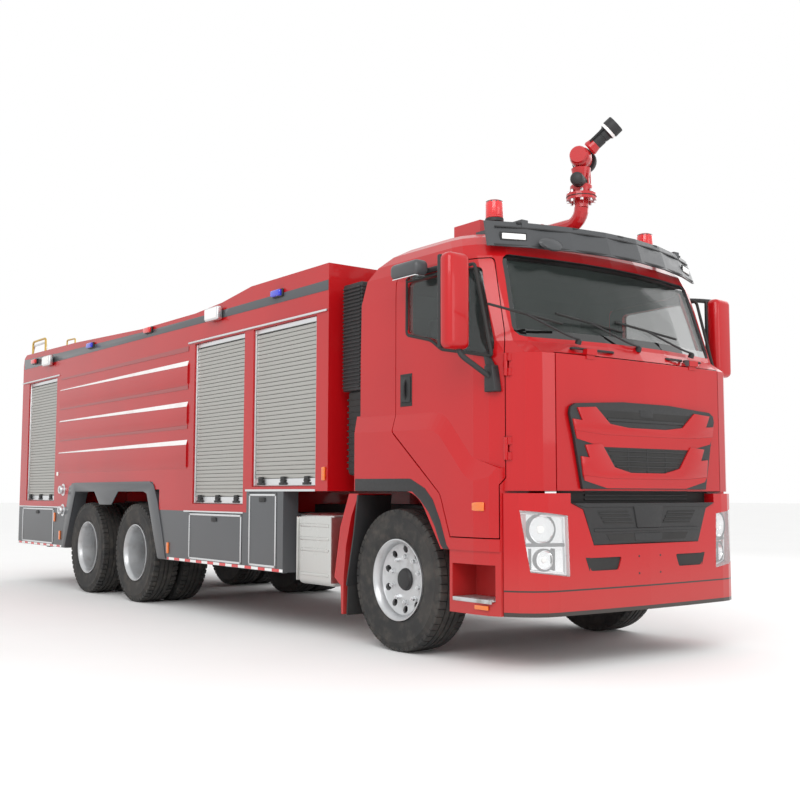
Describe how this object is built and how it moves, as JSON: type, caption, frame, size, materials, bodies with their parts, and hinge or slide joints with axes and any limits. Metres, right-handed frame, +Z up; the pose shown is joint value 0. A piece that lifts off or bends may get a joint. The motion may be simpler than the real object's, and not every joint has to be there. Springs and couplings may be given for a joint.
{
  "type": "airport fire truck",
  "caption": "Airport fire truck with a forward cab, a steered front axle, a driven twin-wheel tandem, shuttered lockers, a roof deck and a roof water monitor.",
  "frame": {"origin": "centre of the truck's length and width, on the ground", "axes": "+Y runs from the front bumper to the rear, +Z is up and +X is the truck's left side"},
  "size_m": [3.06, 9.91, 4.0398],
  "materials": {
    "fire_red": "gloss",
    "body_grey": "satin",
    "shutter_silver": "satin anodised",
    "frame_black": "satin",
    "black_plastic": "textured",
    "tyre_rubber": "matt",
    "wheel_silver": "satin",
    "lamp_glass": "clear over reflector",
    "window_glass": "tinted",
    "seat_fabric": "woven",
    "cast_iron": "rough"
  },
  "bodies": {
    "truck": {"air_intake": "black_plastic", "battery_box": "black_plastic", "bumper": "fire_red", "cab_shell": "fire_red", "cab_step_left": "fire_red", "cab_step_right": "fire_red", "chassis_frame": "frame_black", "dashboard": "black_plastic", "engine_block": "cast_iron", "front_axle": "frame_black", "fuel_tank": "shutter_silver", "headlight_left": "lamp_glass", "headlight_right": "lamp_glass", "locker_body": "fire_red", "lower_grille": "black_plastic", "monitor_pipe": "fire_red", "mudguard_left": "fire_red", "mudguard_right": "fire_red", "rear_bogie": "frame_black", "rear_ladder": "shutter_silver", "seat_driver": "seat_fabric", "seat_passenger": "seat_fabric", "shutter_1_left": "shutter_silver", "shutter_1_right": "shutter_silver", "shutter_2_left": "shutter_silver", "shutter_2_right": "shutter_silver", "shutter_3_left": "shutter_silver", "shutter_3_right": "shutter_silver", "shutter_back": "shutter_silver", "skirt_left": "body_grey", "skirt_right": "body_grey", "sun_visor": "black_plastic", "windscreen": "window_glass"},
    "knuckle_right": {"knuckle_right": "frame_black"},
    "front_wheel_right": {"front_wheel_right": "wheel_silver", "front_tyre_right": "tyre_rubber"},
    "rear_wheels_1_right": {"rear_wheels_1_right": "tyre_rubber"},
    "rear_wheels_2_right": {"rear_wheels_2_right": "tyre_rubber"},
    "door_right": {"door_right": "fire_red", "door_glass_right": "window_glass", "mirror_right": "fire_red"},
    "flap_step_right": {"flap_step_right": "body_grey"},
    "flap_front_right": {"flap_front_right": "body_grey"},
    "flap_rear_right": {"flap_rear_right": "body_grey"},
    "knuckle_left": {"knuckle_left": "frame_black"},
    "front_wheel_left": {"front_wheel_left": "wheel_silver", "front_tyre_left": "tyre_rubber"},
    "rear_wheels_1_left": {"rear_wheels_1_left": "tyre_rubber"},
    "rear_wheels_2_left": {"rear_wheels_2_left": "tyre_rubber"},
    "door_left": {"door_left": "fire_red", "door_glass_left": "window_glass", "mirror_left": "fire_red"},
    "flap_step_left": {"flap_step_left": "body_grey"},
    "flap_front_left": {"flap_front_left": "body_grey"},
    "flap_rear_left": {"flap_rear_left": "body_grey"},
    "track_rod": {"track_rod": "frame_black"},
    "front_panel": {"front_panel": "fire_red"},
    "steering_wheel": {"steering_wheel": "black_plastic"},
    "monitor_swivel": {"monitor_swivel": "fire_red"},
    "monitor_nozzle": {"monitor_nozzle": "frame_black"}
  },
  "joints": [
    {"name": "steer_right", "type": "hinge", "parent": "truck", "child": "knuckle_right", "pos_m": [-0.9, -3.545, 0.525], "axis": [0, 0, 1], "range_deg": [-38, 38]},
    {"name": "front_wheel_spin_right", "type": "hinge", "parent": "knuckle_right", "child": "front_wheel_right", "pos_m": [-0.9, -3.545, 0.525], "axis": [1, 0, 0], "continuous": true},
    {"name": "rear_wheels_1_spin_right", "type": "hinge", "parent": "truck", "child": "rear_wheels_1_right", "pos_m": [-0.9275, 1.055, 0.525], "axis": [1, 0, 0], "continuous": true},
    {"name": "rear_wheels_2_spin_right", "type": "hinge", "parent": "truck", "child": "rear_wheels_2_right", "pos_m": [-0.9275, 2.425, 0.525], "axis": [1, 0, 0], "continuous": true},
    {"name": "door_hinge_right", "type": "hinge", "parent": "truck", "child": "door_right", "pos_m": [-1.155, -4.724, 1.28], "axis": [0, 0, 1], "range_deg": [0, 70]},
    {"name": "flap_step_hinge_right", "type": "hinge", "parent": "truck", "child": "flap_step_right", "pos_m": [-1.25, -1.695, 0.52], "axis": [0, -1, 0], "range_deg": [0, 90]},
    {"name": "flap_front_hinge_right", "type": "hinge", "parent": "truck", "child": "flap_front_right", "pos_m": [-1.25, -0.795, 0.52], "axis": [0, -1, 0], "range_deg": [0, 90]},
    {"name": "flap_rear_hinge_right", "type": "hinge", "parent": "truck", "child": "flap_rear_right", "pos_m": [-1.25, 4.14, 0.52], "axis": [0, -1, 0], "range_deg": [0, 90]},
    {"name": "steer_left", "type": "hinge", "parent": "truck", "child": "knuckle_left", "pos_m": [0.9, -3.545, 0.525], "axis": [0, 0, 1], "range_deg": [-38, 38]},
    {"name": "front_wheel_spin_left", "type": "hinge", "parent": "knuckle_left", "child": "front_wheel_left", "pos_m": [0.9, -3.545, 0.525], "axis": [1, 0, 0], "continuous": true},
    {"name": "rear_wheels_1_spin_left", "type": "hinge", "parent": "truck", "child": "rear_wheels_1_left", "pos_m": [0.9275, 1.055, 0.525], "axis": [1, 0, 0], "continuous": true},
    {"name": "rear_wheels_2_spin_left", "type": "hinge", "parent": "truck", "child": "rear_wheels_2_left", "pos_m": [0.9275, 2.425, 0.525], "axis": [1, 0, 0], "continuous": true},
    {"name": "door_hinge_left", "type": "hinge", "parent": "truck", "child": "door_left", "pos_m": [1.155, -4.724, 1.28], "axis": [0, 0, -1], "range_deg": [0, 70]},
    {"name": "flap_step_hinge_left", "type": "hinge", "parent": "truck", "child": "flap_step_left", "pos_m": [1.25, -1.695, 0.52], "axis": [0, 1, 0], "range_deg": [0, 90]},
    {"name": "flap_front_hinge_left", "type": "hinge", "parent": "truck", "child": "flap_front_left", "pos_m": [1.25, -0.795, 0.52], "axis": [0, 1, 0], "range_deg": [0, 90]},
    {"name": "flap_rear_hinge_left", "type": "hinge", "parent": "truck", "child": "flap_rear_left", "pos_m": [1.25, 4.14, 0.52], "axis": [0, 1, 0], "range_deg": [0, 90]},
    {"name": "track_rod_pivot", "type": "hinge", "parent": "knuckle_right", "child": "track_rod", "pos_m": [-0.9, -3.385, 0.425], "axis": [0, 0, 1], "range_deg": [-38, 38]},
    {"name": "front_panel_hinge", "type": "hinge", "parent": "truck", "child": "front_panel", "pos_m": [0, -4.936, 2.108], "axis": [-1, 0, 0], "range_deg": [0, 80]},
    {"name": "steering_wheel_turn", "type": "hinge", "parent": "truck", "child": "steering_wheel", "pos_m": [0.56, -4.165, 2.04], "axis": [0, 0.4695, 0.8829], "range_deg": [-690, 690]},
    {"name": "monitor_slew", "type": "hinge", "parent": "truck", "child": "monitor_swivel", "pos_m": [0, -4.345, 3.46], "axis": [0, 0, 1], "range_deg": [-190, 130]},
    {"name": "monitor_elevation", "type": "hinge", "parent": "monitor_swivel", "child": "monitor_nozzle", "pos_m": [0, -4.345, 3.75], "axis": [-0.866, -0.5, 0], "range_deg": [-55, 35]}
  ],
  "couplings": [
    {"joint": "steer_left", "follows": "steer_right", "ratio": 1},
    {"joint": "track_rod_pivot", "follows": "steer_right", "ratio": -1},
    {"joint": "steering_wheel_turn", "follows": "steer_right", "ratio": 18}
  ]
}
